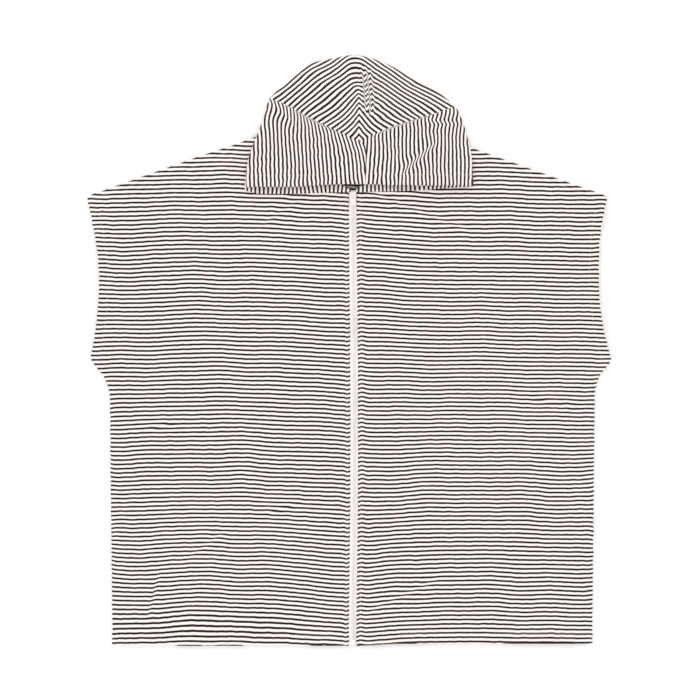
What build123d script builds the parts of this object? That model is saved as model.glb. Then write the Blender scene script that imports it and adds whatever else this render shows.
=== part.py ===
"""A hooded poncho towel for a small child, with an open-ended zip up the front.

It lies flat on its back, front side up, with the hood folded forward over the neck. Millimetres, +Z up from the
surface that it lies on, +Y from the hem towards the hood, origin at the middle of the footprint.
"""

import os
from math import hypot, radians, sin

from build123d import *

# Cloth, and the room that the layers leave between them
cloth = 2.0  # one layer of towelling
body_gap = 5.6  # between the back and the fronts, filled at the edges by the seam allowance
hood_gap = 6.0  # between the two layers of the folded hood
seam_allowance = 8.0
hood_clearance = 0.3  # between the part of the hood that lifts and the part that stays

# The body, as half widths from the zip and as distances along it
body_length = 622.2  # hem to the neck end of a shoulder seam
hem_half = 288.0
side_half = 291.0  # at the top of the side seam
sleeve_half = 312.0  # at both corners of an armhole
armhole_half = 299.0  # at an armhole's waist, and where its underarm starts
neck_half = 78.0
shoulder_drop = 83.6
armhole_depth = 196.0
underarm_step = 17.0  # from an armhole's lower corner down to the side seam
underarm_curve = 36.0  # the height over which the side seam straightens
underarm_bow = 2.5
neck_drop_front = 76.6
neck_drop_back = 19.6
neck_bow_front = 20.0

# The hood, folded forward so that its face opening lies along the neck
hood_offset = 12.0  # it lies a little to one side of the middle
hood_half = 136.0  # at the face opening
hood_corner_half = 113.0
hood_reach = 87.0  # from the neck end of a shoulder seam to the top of the hood
hood_corner_drop = 56.6  # from the top of the hood to its two corners
hood_side_bow = 8.0
hood_top_bow = 11.0
brim_setback = 5.4  # how far the brim lies behind the lip under it
shoulder_overhang = 3.0  # from the shoulder seam's neck end to where the hood starts to drop
drape_run = 29.0  # over which the hood drops from the fronts to the surface
hood_seam_width = 6.0
hood_seam_depth = 1.2

# The zip
zip_offset = 4.8  # it lies a little to one side of the middle
placket_half = 4.2  # from the zip's centre line to a front's edge
tape_inner, tape_outer, tape_depth = 0.7, 14.8, 0.6
coil_outer, coil_depth = 2.3, 1.8
stop_length = 1.5
pin_length, pin_depth = 13.0, 1.6
box_length, box_half, box_depth, box_wall = 6.0, 2.9, 2.3, 0.5
zip_clearance = 0.3

# The slider and its pull tab
slider_length, slider_half = 9.5, 3.6
plate = 1.0
post_half, post_length, post_inset = 0.45, 2.4, 0.9
crown_half, crown_length, crown_height, crown_wall = 0.65, 5.2, 2.7, 0.9
bar_radius = 0.55
tab_thickness, tab_half, arm_width = 1.0, 2.1, 0.9
tab_window, tab_length, tab_hole = 3.5, 12.0, 0.8  # both lengths run from the bar's axis

# Sewing thread
thread_width, thread_depth = 0.5, 0.4
zip_stitch_inset = 4.5
hem_stitch_inset = 12.0
armhole_stitch_inset = 10.0
thread_end = 4.0  # where a line of stitching stops short of an edge

# Heights along the body and up through the layers, from the values above
overall_length = body_length + hood_reach
hem_y = -overall_length / 2
neck_y = hem_y + body_length
hood_top_y = neck_y + hood_reach
tip_y = neck_y - shoulder_drop
low_y = tip_y - armhole_depth
under_y = low_y - underarm_step
side_y = under_y - underarm_curve
throat_y = neck_y - neck_drop_front
lip_y = throat_y
brim_y = lip_y + brim_setback
corner_y = hood_top_y - hood_corner_drop
drape_start, drape_end = neck_y + shoulder_overhang, neck_y + shoulder_overhang + drape_run

front_z = cloth + body_gap
body_top = front_z + cloth
cheek_top = body_top + cloth
crown_z = cheek_top + hood_gap
tape_z = front_z - tape_depth
coil_top = front_z + coil_depth
slider_z = coil_top + zip_clearance + plate  # the top of the slider's upper plate

box_top_y = hem_y + box_length
slider_y = throat_y - stop_length - zip_clearance - slider_length / 2
bar_z = slider_z + bar_radius + hood_clearance
REACH = 2 * sleeve_half  # past everything, for cutting tools
SLIVER = 0.01


def bowed(start, end, bow):
    """An arc from start to end whose middle stands this far to the left of the straight line between them."""
    (x0, y0), (x1, y1) = start, end
    share = bow / hypot(x1 - x0, y1 - y0)
    return ThreePointArc(start, ((x0 + x1) / 2 - share * (y1 - y0), (y0 + y1) / 2 + share * (x1 - x0)), end)


def slab(x, y, z):
    """A box from its span on each axis."""
    spans = (x, y, z)
    middle = [(low + high) / 2 for low, high in spans]
    return Pos(*middle) * Box(*[high - low for low, high in spans])


def prism(face, z):
    """A flat face drawn on the XY plane, raised to fill a span of height."""
    low, high = z
    return Pos(0, 0, low) * extrude(face, high - low)


def region(edges):
    return make_face(Wire(edges))


# Outlines, each as the edges of the right-hand side


def side_edges(bottom_y=hem_y):
    """Hem, side seam, underarm, armhole and shoulder, from the zip round to the neck."""
    hem, side = (hem_half, bottom_y), (side_half, side_y)
    under, low = (armhole_half, under_y), (sleeve_half, low_y)
    tip, neck = (sleeve_half, tip_y), (neck_half, neck_y)
    armhole_bow = sleeve_half - armhole_half
    return [
        Line(hem, side),
        bowed(side, under, underarm_bow),
        Line(under, low),
        bowed(low, tip, armhole_bow),
        Line(tip, neck),
    ]


def half_body(inner, bottom_y=hem_y):
    """One side of the front, from a line this far from the middle."""
    neck, throat, hem = (neck_half, neck_y), (inner, throat_y), (inner, bottom_y)
    neckline = bowed(neck, throat, neck_bow_front)
    return region([*side_edges(bottom_y), neckline, Line(throat, hem), Line(hem, (hem_half, bottom_y))])


def back_body():
    right, left = (neck_half, neck_y), (-neck_half, neck_y)
    neckline = ThreePointArc(right, (0, neck_y - neck_drop_back), left)
    mirrored = [edge.mirror(Plane.YZ) for edge in side_edges()]
    return region([*side_edges(), neckline, *mirrored, Line((-hem_half, hem_y), (hem_half, hem_y))])


def neck_hole():
    """The gap inside the neckline, open at the throat as wide as the zip's placket."""
    right, left = (neck_half, neck_y), (-neck_half, neck_y)
    low, high = zip_offset - placket_half, zip_offset + placket_half
    throat_right, throat_left = (high, throat_y), (low, throat_y)
    below_right, below_left = (high, throat_y - cloth), (low, throat_y - cloth)
    return region(
        [
            Line(below_left, below_right),
            Line(below_right, throat_right),
            bowed(throat_right, right, -neck_bow_front),
            ThreePointArc(right, (0, neck_y - neck_drop_back), left),
            bowed(left, throat_left, -neck_bow_front),
            Line(throat_left, below_left),
        ]
    )


def hood_outline(bottom_y, inset=0.0, open_by=0.0):
    """The folded hood seen from above. With an inset, the space inside its walls, run out past the brim."""
    middle, low = hood_offset, bottom_y - open_by
    base, corner = hood_half - inset, hood_corner_half - inset
    top = (middle, hood_top_y - inset)
    right, left = (middle + corner, corner_y - inset), (middle - corner, corner_y - inset)
    low_right, low_left = (middle + base, low), (middle - base, low)
    return region(
        [
            Line(low_left, low_right),
            bowed(low_right, right, -hood_side_bow),
            bowed(right, top, -hood_top_bow),
            bowed(top, left, -hood_top_bow),
            bowed(left, low_left, -hood_side_bow),
        ]
    )


def draped(low, high):
    """Everything between two heights above the fronts, following the hood down past the shoulders."""
    start, end, far = lip_y - REACH, hood_top_y + REACH, body_top
    points = [(start, low), (drape_start, low), (drape_end, low - far), (end, low - far)]
    points += [(end, high - far), (drape_end, high - far), (drape_start, high), (start, high)]
    face = Plane.YZ * make_face(Polyline(*points, close=True))
    return extrude(face, REACH, both=True)


def one_side(shape, x_middle, sign):
    """The part of a shape on one side of a plane across the body."""
    span = (x_middle, x_middle + REACH) if sign > 0 else (x_middle - REACH, x_middle)
    return shape & slab(span, (-REACH, REACH), (-REACH, REACH))


def both_hands(right):
    """A right-hand piece and its mirror image."""
    return {"right": right, "left": mirror(right, Plane.YZ)}


# Cloth pieces


def fronts():
    """Both fronts' outlines. The left one reaches further in, by twice the zip's offset."""
    right, left = half_body(placket_half + zip_offset), half_body(placket_half - zip_offset)
    return {"right": right, "left": mirror(left, Plane.YZ)}


def panels():
    found = {f"front_panel_{hand}": prism(face, (front_z, body_top)) for hand, face in fronts().items()}
    return {"back_panel": prism(back_body(), (0, cloth)), **found}


def edge_strip(inset, width):
    """A strip up the outer edge of the right-hand side, this far in from it and this wide."""
    whole = half_body(placket_half)
    return Pos(-inset, 0) * whole - Pos(-inset - width, 0) * whole


def shoulder_strip():
    """A strip just inside the shoulder line, stopping short of the neck."""
    tip, neck = Vector(sleeve_half, tip_y), Vector(neck_half, neck_y)
    along = (neck - tip).normalized()
    inward = along.rotate(Axis.Z, 90) * seam_allowance
    end = neck - along * 2 * seam_allowance
    return make_face(Polyline(tip, end, end + inward, tip + inward, close=True))


def body_seams():
    layer = (cloth, front_z)
    side = prism(edge_strip(0, seam_allowance), layer) & slab((neck_half, REACH), (hem_y, under_y), layer)
    shoulder = prism(shoulder_strip(), layer)
    found = {}
    for name, piece in {"side_seam": side, "shoulder_seam": shoulder}.items():
        found.update({f"{name}_{hand}": made for hand, made in both_hands(piece).items()})
    return found


def neck_seams():
    """The seam allowance round the neck: inside each front, and from the back panel up to the hood."""
    shift, edge = seam_allowance * sin(radians(45)), tape_outer + zip_clearance
    found = {}
    for hand, sign in (("left", -1), ("right", 1)):
        whole = fronts()[hand]
        band = prism(whole - Pos(sign * shift, -shift) * whole, (front_z - cloth, front_z))
        span = sorted((zip_offset + sign * edge, sign * (neck_half - seam_allowance)))
        found[f"neck_seam_{hand}"] = band & slab(span, (throat_y - seam_allowance, neck_y), (0, body_top))
    back = prism(back_body() - Pos(0, -2 * cloth) * back_body(), (cloth, body_top))
    across = (-neck_half / 2, neck_half / 2)
    found["neck_seam_back"] = back & slab(across, (throat_y, neck_y), (0, body_top))
    return found


def hood():
    """Each side of the hood in two nodes: the cheek that stays under, and the crown that lifts at the brim."""
    cheeks = prism(hood_outline(lip_y) - neck_hole(), (0, crown_z)) & draped(body_top, cheek_top)
    outer = prism(hood_outline(brim_y), (0, crown_z + cloth)) & draped(
        cheek_top + hood_clearance, crown_z + cloth
    )
    inside = prism(hood_outline(brim_y, inset=cloth, open_by=cloth), (0, crown_z)) & draped(cheek_top, crown_z)
    crown = outer - inside
    found = {}
    for hand, sign in (("left", -1), ("right", 1)):
        found[f"hood_cheek_{hand}"] = one_side(cheeks, zip_offset, sign)
        found[f"hood_crown_{hand}"] = one_side(crown, hood_offset, sign)
    half = hood_seam_width / 2
    strip = slab((hood_offset - half, hood_offset + half), (brim_y, hood_top_y - 2 * cloth), (-REACH, REACH))
    found["hood_centre_seam"] = strip & draped(crown_z - hood_seam_depth, crown_z)
    return found


# The zip


def zip_fixed():
    coil_low = box_top_y + SLIVER
    tape = slab((tape_inner, tape_outer), (hem_y, throat_y), (tape_z, front_z))
    coil = slab((tape_inner, coil_outer), (coil_low, throat_y - stop_length), (front_z, coil_top))
    stop = slab((tape_inner, coil_outer), (throat_y - stop_length, throat_y), (front_z, coil_top))
    found = {}
    for name, piece in {"zip_tape": tape, "zip_coil": coil, "zip_top_stop": stop}.items():
        found.update({f"{name}_{hand}": made for hand, made in both_hands(piece).items()})

    pin_x = (-coil_outer + zip_clearance / 2, -tape_inner)
    pin_low, pin_top = hem_y + box_wall, box_top_y + pin_length - box_length
    pin = slab(pin_x, (pin_low, pin_top), (front_z, front_z + pin_depth))
    found["zip_coil_left"] -= slab((-REACH, 0), (hem_y, pin_top), (front_z, coil_top))
    found["zip_insertion_pin"] = pin

    box = slab((-box_half, box_half), (hem_y, box_top_y), (front_z, front_z + box_depth))
    box = fillet(box.edges().filter_by(Axis.Y).group_by(Axis.Z)[-1], box_wall)
    slot = (pin_x[0] - zip_clearance / 2, pin_x[1] + zip_clearance / 2)
    found["zip_retainer_box"] = box - slab(slot, (pin_low, box_top_y), (front_z, front_z + pin_depth + SLIVER))
    return {name: Pos(zip_offset, 0) * piece for name, piece in found.items()}


def zip_slider():
    """Two plates joined by a post between the coils, with side flanges and a crown for the pull tab."""
    low, high = slider_y - slider_length / 2, slider_y + slider_length / 2
    lower_top = tape_z - zip_clearance
    upper = slab((-slider_half, slider_half), (low, high), (slider_z - plate, slider_z))
    upper = fillet(upper.edges().filter_by(Axis.Z), plate)
    upper = fillet(upper.edges().group_by(Axis.Z)[-1], plate / 3)
    lower = slab((-slider_half, slider_half), (low, high), (lower_top - plate, lower_top))
    lower = fillet(lower.edges().filter_by(Axis.Z), plate)
    post_y = (high - post_inset - post_length, high - post_inset)
    shell = upper + lower + slab((-post_half, post_half), post_y, (lower_top - plate / 2, slider_z - plate / 2))
    for sign in (1, -1):
        span = sorted((sign * (coil_outer + zip_clearance), sign * slider_half))
        shell += slab(span, (low + plate, high - plate), (front_z + zip_clearance, slider_z - plate / 2))
    crown_y = (slider_y - crown_length / 2, slider_y + crown_length / 2)
    crown = slab((-crown_half, crown_half), crown_y, (slider_z - plate / 2, slider_z + crown_height))
    crown = fillet(crown.edges().filter_by(Axis.X).group_by(Axis.Z)[-1], crown_wall)
    window_y = (crown_y[0] + crown_wall, crown_y[1] - crown_wall)
    window = slab((-REACH, REACH), window_y, (slider_z, slider_z + crown_height - crown_wall))
    return Pos(zip_offset, 0) * (shell + (crown - window))


def pull_tab():
    """A flat tab whose bar turns under the slider's crown, lying towards the hem."""
    half, top = tab_thickness / 2, bar_radius
    z = (bar_z - half, bar_z + half)
    outer = slab((-tab_half, tab_half), (slider_y - tab_length, slider_y + top), z)
    outer = fillet(outer.edges().filter_by(Axis.Z).group_by(Axis.Y)[0], tab_half - arm_width)
    opening = tab_half - arm_width
    outer -= slab((-opening, opening), (slider_y - tab_window, slider_y + top), z)
    hole = Pos(0, slider_y - tab_length + tab_half, bar_z) * Cylinder(tab_hole, 2 * tab_thickness)
    bar = Pos(0, slider_y, bar_z) * Rot(0, 90, 0) * Cylinder(bar_radius, 2 * opening)
    shape = outer - hole
    shape = fillet(shape.edges().group_by(Axis.Z)[-1].filter_by(Axis.Y), tab_thickness / 4)
    return Pos(zip_offset, 0) * (shape + bar)


# Sewing thread, as one fine strip for each line of stitching


def stitching():
    on_front, on_back = (body_top, body_top + thread_depth), (cloth, cloth + thread_depth)
    half = thread_width / 2
    hem_line_y = hem_y + hem_stitch_inset
    hem_span = (hem_line_y - half, hem_line_y + half)
    back_end = hem_half - seam_allowance - thread_end

    ring = edge_strip(armhole_stitch_inset - half, thread_width)
    ends = (low_y + armhole_stitch_inset, tip_y - seam_allowance - thread_end)
    beside = slab((neck_half, REACH), ends, (0, crown_z))
    armhole = [(prism(ring, z) & beside).solid() for z in (on_front, on_back)]

    brim_line_y = brim_y + hem_stitch_inset
    on_hood = (crown_z + cloth, crown_z + cloth + thread_depth)
    brim_span = (brim_line_y - half, brim_line_y + half)
    found = {"hem_stitch_back": slab((-back_end, back_end), hem_span, on_back)}
    for hand, sign in (("left", -1), ("right", 1)):
        near, far = hood_seam_width / 2, hood_half - thread_end
        span = sorted((hood_offset + sign * near, hood_offset + sign * far))
        found[f"hood_brim_stitch_{hand}"] = slab(span, brim_span, on_hood)
        zip_x = zip_offset + sign * (placket_half + zip_stitch_inset)
        zip_y = (hem_y + thread_end, throat_y - thread_end)
        found[f"zip_stitch_{hand}"] = slab((zip_x - half, zip_x + half), zip_y, on_front)
        span = sorted((zip_x + sign * thread_end, sign * back_end))
        found[f"hem_stitch_front_{hand}"] = slab(span, hem_span, on_front)
        pieces = armhole if sign > 0 else [mirror(piece, Plane.YZ) for piece in armhole]
        found[f"armhole_stitch_{hand}"] = Compound(pieces)
    return found


def main():
    nodes = {**panels(), **body_seams(), **neck_seams(), **hood(), **zip_fixed(), **stitching()}
    nodes["zip_slider"] = zip_slider()
    nodes["zip_pull_tab"] = pull_tab()
    os.makedirs("parts", exist_ok=True)
    for name, shape in nodes.items():
        export_step(shape, f"parts/{name}.step")


main()
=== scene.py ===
import random
from math import atan2, ceil, cos, pi, sin

import bpy
import numpy as np
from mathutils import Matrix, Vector


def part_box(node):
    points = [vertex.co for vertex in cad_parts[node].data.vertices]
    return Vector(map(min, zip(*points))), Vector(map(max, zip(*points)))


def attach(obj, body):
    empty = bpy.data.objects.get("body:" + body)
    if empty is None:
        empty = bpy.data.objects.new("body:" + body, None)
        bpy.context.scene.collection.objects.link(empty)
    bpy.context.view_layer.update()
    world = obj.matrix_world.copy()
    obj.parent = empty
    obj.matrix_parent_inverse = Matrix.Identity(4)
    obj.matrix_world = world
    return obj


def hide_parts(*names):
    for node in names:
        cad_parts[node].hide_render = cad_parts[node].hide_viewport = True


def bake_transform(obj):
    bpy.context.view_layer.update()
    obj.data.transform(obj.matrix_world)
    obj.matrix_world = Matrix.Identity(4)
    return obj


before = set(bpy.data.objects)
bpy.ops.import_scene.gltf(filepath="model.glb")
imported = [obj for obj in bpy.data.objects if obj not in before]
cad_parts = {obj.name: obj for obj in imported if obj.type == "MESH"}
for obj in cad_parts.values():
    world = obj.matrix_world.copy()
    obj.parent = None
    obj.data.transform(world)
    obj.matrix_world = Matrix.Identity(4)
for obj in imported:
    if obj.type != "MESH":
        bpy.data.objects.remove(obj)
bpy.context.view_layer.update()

# Sizes in millimetres. Places come from the CAD nodes, and these are the cloth's own. Where the soft cloth
# lies askew, ripples or creases, the places are given in millimetres from the towel's middle.
MM = 0.001
CLOTH = 1.5  # one layer of towelling, pressed flat
HEM_EXTRA = 0.9  # what a turned hem adds
GROOVE = 0.9  # how deep a line of stitching pulls the cloth in
THINNEST, THICKEST = 0.7, 3.0  # of the body's cloth, hems included
HEM_WIDTH = 12.0
ARMHOLE_HEM = 10.0
ZIP_HEM = 4.5
LIP_HEM = 9.0
ON_CLOTH = 0.12  # how far a thread's middle stands clear of the cloth

BODY_PITCH = 5.22  # one dark and one pale stripe
HOOD_PITCH = 4.9
BODY_DARK = 0.46  # the dark stripe's share of the pitch
HOOD_DARK = 0.475
# Stripes between the hood's outer corner and its nape: across the crown, and across the side below its fold
CROWN_STRIPES = {-1: 20.2, 1: 18.6}
SIDE_STRIPES = {-1: 23.2, 1: 24.6}
SEAM_PITCH = 5.3  # where the crown's stripes meet the centre seam
NAPE_SPREAD, SPREAD_OVER = 21.0, 5.0  # how much the first few of those are spread, and over how many stripes
SIDE_LEAN = {-1: 0.07, 1: 0.10}  # how far a side's stripes lean in to the seam, per millimetre below the fold
LEFT_CURVE, CURVE_OVER = 8.5, 25.0  # how much further the left ones curve in, and over what depth
SEAM_SLIP = 8.0  # how far the centre seam has slid to the right below the fold

SEAM_LIFT = 3.5  # the middle of a front where it meets the back in a seam
EDGE_REACH = 26.0  # over which a layer drops to its seam
ARM_REACH, ARM_SINK = 34.0, 1.0  # over which a front sinks to the armhole, and how far
FOLD_REACH = 20.0  # over which the hood rounds into its side folds
LAYER_STEP = 1.3  # from the middle of the hood's lower layer to its upper one's, at the rim
LAID_LOW = 1.1  # the middle of the hood's lower layer where it lies on the floor
CORNER_IN, CORNER_DOWN = 23.0, 56.6  # where a crown fold starts, from the hood's side and top
NAPE_DOWN = 51.0  # how far below that the two folds meet
NECK_BOW = 20.0  # how far a front's neckline bows out
NECK_SEAM_UP = 4.0  # from the foot of the back's neck seam to the cloth's edge
CHEEK_UP = 1.0  # from the fronts to the hood's lower layer
ZIP_WAVER = 2.3
BEHIND_SLIDER = 4.0  # kept straight behind the slider, with the zip at its foot

COIL_PITCH = 1.5
COIL_REACH = 1.15  # half a loop's width
COIL_RISE = 0.55  # half a loop's height
COIL_OUT, COIL_UP = 1.1, 0.9  # a coil's middle, from the zip's line and above its foot
NYLON_RADIUS = 0.33
TAPE_EDGES = (0.3, 14.4)  # from the zip's line
TAPE_THICK = 0.6

STITCH_STEP = 3.2
STITCH_LENGTH = 2.5
STITCH_SIDES = 6
# Along a stitch: the place as a share of its length, the thread's radius, and how high it stands
STITCH_PROFILE = (
    (-0.5, 0.0, -0.35),
    (-0.3, 0.16, 0.0),
    (0.0, 0.19, 0.07),
    (0.3, 0.16, 0.0),
    (0.5, 0.0, -0.35),
)

HANDS = ((-1, "left"), (1, "right"))

# --- Places, read from the CAD nodes ---


def box(node):
    """The low and high corners of a CAD node's box."""
    low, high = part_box(node)
    return np.array(low) / MM, np.array(high) / MM


def plan_edges(*nodes):
    """Every mesh edge of some nodes, seen from above."""
    found = []
    for node in nodes:
        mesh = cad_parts[node].data
        flat = np.array([v.co[:2] for v in mesh.vertices]) / MM
        found.append(flat[np.array([e.vertices[:] for e in mesh.edges])])
    return np.concatenate(found)


def crossing(edges, level, axis):
    """Where edges cross a line of constant x (axis 0) or y (axis 1): the lowest and highest of the other."""
    a, b = edges[:, 0], edges[:, 1]
    low, high = np.minimum(a[:, axis], b[:, axis]), np.maximum(a[:, axis], b[:, axis])
    hit = (low <= level) & (high >= level) & (high - low > 1e-6)
    share = (level - a[hit, axis]) / (b[hit, axis] - a[hit, axis])
    other = a[hit, 1 - axis] + share * (b[hit, 1 - axis] - a[hit, 1 - axis])
    return other.min(), other.max()


def follow(edges, levels, axis, side):
    """An outline's lowest (side 0) or highest (side 1) crossing at each level."""
    return np.array([crossing(edges, level, axis)[side] for level in levels])


back_low, back_high = box("back_panel")
front_low, front_high = box("front_panel_right")
hood_low, hood_high = box("hood_crown_right")
tape_low, tape_high = box("zip_tape_right")
slider_low, slider_high = box("zip_slider")
coil_foot = box("zip_coil_right")[0][2]
zip_x = (box("front_panel_left")[1][0] + front_low[0]) / 2
placket = front_low[0] - zip_x
hem_y, throat_y, neck_y = back_low[1], tape_high[1], back_high[1]
back_edges = plan_edges("back_panel")
hood_edges = plan_edges("hood_crown_left", "hood_crown_right")
back_z = (back_low[2] + back_high[2]) / 2
front_z = (front_low[2] + front_high[2]) / 2
crown_top = hood_high[2] - 1.0
cheek_z = front_high[2] + CHEEK_UP
under_y = box("side_seam_right")[1][1]  # where a sleeve starts
brim_y, hood_top = hood_low[1], hood_high[1]
hood_x = hood_low[0]  # the hood's centre seam
hood_left, hood_right = box("hood_crown_left")[0][0], hood_high[0]
lip_y = box("hood_cheek_left")[0][1]  # the lower layer shows past the brim

shoulder_levels = np.linspace(under_y + 40, neck_y - 1, 400)
outer_x = follow(back_edges, shoulder_levels, 1, 1)
tip_y = max(y for y, x in zip(shoulder_levels, outer_x) if x > back_high[0] - 1.0)
tip = np.array([back_high[0], tip_y])
neck = np.array([crossing(back_edges, neck_y - 0.05, 1)[1], neck_y])
shoulder_slope = atan2(tip[1] - neck[1], tip[0] - neck[0])
neck_back_y = box("neck_seam_back")[0][1] + NECK_SEAM_UP
# The zip is straight where the slider stands, at both ends of its travel
slider_length = slider_high[1] - slider_low[1]
zip_waver_at = (slider_high[1], box("zip_retainer_box")[1][1] + slider_length + BEHIND_SLIDER)

# --- Irregular cloth ---

WAVES = 7  # in one ripple


def ripple(seed, across, along):
    """A smooth, seeded height between about -1 and 1, from waves this long across and along the towel."""
    draw = random.Random(seed)
    waves = []
    for _ in range(WAVES):
        kx = draw.choice((-1, 1)) * 2 * pi / draw.uniform(*across)
        waves.append((kx, 2 * pi / draw.uniform(*along), draw.uniform(0, 2 * pi)))

    def height(x, y):
        total = sum(np.sin(kx * x + ky * y + phase) for kx, ky, phase in waves)
        return total / (0.8 * WAVES) ** 0.5 / 1.4

    return height


sway = ripple(11, (45, 140), (120, 400))
flutter = ripple(12, (11, 28), (25, 90))
billow = ripple(13, (50, 130), (50, 130))
pucker = ripple(14, (14, 26), (14, 26))
hood_sway = ripple(15, (60, 160), (30, 80))
hood_flutter = ripple(16, (20, 60), (9, 22))


def smooth(t):
    """0 up to t = 0, then a soft step to 1 at t = 1."""
    t = np.clip(t, 0, 1)
    return t * t * (3 - 2 * t)


def bump(d, width):
    """1 in the middle, fading out over a width each way."""
    return np.exp(-((d / width) ** 2))


def tuck(d, reach):
    """1 on an edge, rounding off to 0 at a distance of reach."""
    return 1 - np.sqrt(np.clip(1 - (1 - np.clip(d / reach, 0, 1)) ** 2, 0, 1))


def away(path, x, y):
    """The distance to a line of points."""
    best = np.full(np.shape(x), 1e9)
    for (ax, ay), (bx, by) in zip(path[:-1], path[1:]):
        dx, dy = bx - ax, by - ay
        t = np.clip(((x - ax) * dx + (y - ay) * dy) / max(dx * dx + dy * dy, 1e-12), 0, 1)
        best = np.minimum(best, np.hypot(x - ax - t * dx, y - ay - t * dy))
    return best


def beside(start, end, x, y):
    """The signed distance to the line through two points."""
    (ax, ay), (bx, by) = start, end
    return ((x - ax) * (by - ay) - (y - ay) * (bx - ax)) / np.hypot(bx - ax, by - ay)


def ladder(start, end, fine=1.3, band=16.0, coarse=3.6):
    """Places from start to end, close together near both ends."""
    length = end - start
    band = min(band, length / 3)
    near = np.linspace(0, band, ceil(band / fine) + 1)
    middle = np.linspace(band, length - band, ceil((length - 2 * band) / coarse) + 1)[1:-1]
    return start + np.concatenate([near, middle, length - near[::-1]])


def shares(length, **spacing):
    """Shares of a length from 0 to 1, close together near both ends."""
    return ladder(0.0, length, **spacing) / length


def hem(d, width):
    """What a turned and stitched hem does to the cloth's thickness, at a distance from its edge."""
    return HEM_EXTRA * smooth((width + 1.5 - d) / 1.5) - GROOVE * bump(d - width, 0.8)


side_levels = np.linspace(hem_y + 0.05, under_y, 30)
side_path = list(zip(follow(back_edges, side_levels, 1, 1), side_levels))
arm_levels = np.linspace(under_y, tip_y - 0.1, 40)
arm_path = list(zip(follow(back_edges, arm_levels, 1, 1), arm_levels))
shoulder_path = [tuple(tip), tuple(neck)]


def closed_edge(x, y):
    """1 along the side and shoulder seams, 0 well inside them."""
    nearest = np.minimum(away(side_path, abs(x), y), away(shoulder_path, abs(x), y))
    return tuck(nearest, EDGE_REACH)


def body_thickness(x, y, front):
    """One layer of the body's cloth, with its hems; only a front has one along the zip."""
    t = CLOTH + hem(y - hem_y, HEM_WIDTH) + hem(away(arm_path, abs(x), y), ARMHOLE_HEM)
    if front:
        t = t + hem(abs(x - zip_x - zip_waver(y)) - placket, ZIP_HEM)
    return np.clip(t, THINNEST, THICKEST)


def zip_waver(y):
    """The zip isn't quite straight between its two ends."""
    share = np.clip((zip_waver_at[0] - y) / (zip_waver_at[0] - zip_waver_at[1]), 0, 1)
    return ZIP_WAVER * np.sin(pi * share ** 1.15) ** 1.4 * (0.9 + 0.1 * np.sin(9 * share))


def front_height(x, y):
    """The middle of a front: it drops to its seams, and puckers most beside its hems."""
    closed = closed_edge(x, y)
    from_arm = away(arm_path, abs(x), y)
    free = 1 - closed
    z = front_z - (front_z - SEAM_LIFT) * closed - ARM_SINK * tuck(from_arm, ARM_REACH) * free
    hem_pucker = bump(y - hem_y - HEM_WIDTH, 5) + bump(from_arm - ARMHOLE_HEM, 5)
    return z + free * (0.55 * billow(x, y) + 0.16 * pucker(x, y) * (1 + 1.5 * hem_pucker))


def back_height(x, y):
    """The middle of the back, which never sinks into the floor."""
    return np.maximum(back_z + 0.9 * closed_edge(x, y), body_thickness(x, y, False) / 2 + 0.05)


def past_shoulder(x, y):
    """How far a point is beyond the shoulder line and the neck."""
    slope = abs(shoulder_slope)
    sideways = np.maximum(abs(x) - neck[0], 0)
    return (y - neck_y) * cos(slope) + sideways * sin(slope)


def cheek_height(x, y):
    """The hood's lower layer: on the fronts at the neck, and down on the floor beyond the shoulder line."""
    drop = smooth((past_shoulder(x, y) + 14) / 34)
    return cheek_z - (cheek_z - LAID_LOW) * drop


# --- The hood's outline and its folds ---

top_xs = np.linspace(hood_left + 0.5, hood_right - 0.5, 120)
top_ys = follow(hood_edges, top_xs, 0, 1)
corner_half = (hood_right - hood_left) / 2 - CORNER_IN
crown_corner_y = hood_top - CORNER_DOWN


def hood_side(y, hand):
    """The hood's outline on one side, held level past its ends."""
    return follow(hood_edges, np.clip(y, brim_y + 0.05, hood_top - 0.05), 1, 1 if hand > 0 else 0)


def hood_roof(x):
    """The hood's outline along its top."""
    return np.interp(x, top_xs, top_ys)


corner = {hand: np.array([hood_x + hand * corner_half, crown_corner_y]) for hand in (-1, 1)}
nape = np.array([hood_x, crown_corner_y - NAPE_DOWN])  # where the two crown folds meet the centre seam
apex = np.array([hood_x, hood_top])


def hood_border(hand):
    """The hood's folded edge, from below the brim round to the apex."""
    levels = np.linspace(brim_y - 6, crown_corner_y, 14)
    side = list(zip(hood_side(levels, hand), levels))
    xs = np.linspace(corner[hand][0], hood_x, 14)
    return side + list(zip(xs, hood_roof(xs)))


border = {hand: hood_border(hand) for hand in (-1, 1)}


def fold_line(x):
    """The height on the towel of the fold between the hood's crown and its sides."""
    return np.interp(x, [corner[-1][0], nape[0], corner[1][0]], [corner[-1][1], nape[1], corner[1][1]])


def askew(x, y):
    """The soft hood lies a little askew: its left corner is higher and its right corner lower."""
    left, right = (np.hypot(x - corner[hand][0], y - corner[hand][1]) for hand in (-1, 1))
    top_leans = 4.5 * bump(x - hood_x, 45) * smooth((y - 290) / 60)
    left_side_in = 7.5 * bump(y - 263, 34) * smooth((-x - 38) / 60)
    dx = 3.0 * bump(left, 40) + 3.0 * bump(right, 45) - top_leans + left_side_in
    lumps = 4.6 * bump(x + 47, 24) - 2.5 * bump(x + 88, 14) - 5.6 * bump(x - 76, 36)
    dy = 4.6 * bump(left, 55) - 5.4 * bump(right, 60) + lumps * smooth((y - 285) / 45)
    narrower = 0.010 * (x - hood_x)
    return dx - narrower, dy


def slump(x, y):
    """Where a point of the hood comes to lie; below the fold the centre seam has slid to the right."""
    dx, dy = askew(x, y)
    slip = SEAM_SLIP * bump(x - hood_x, 40) * smooth((fold_line(x) - y) / 2.2)
    return x + dx + slip, y + dy


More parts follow.
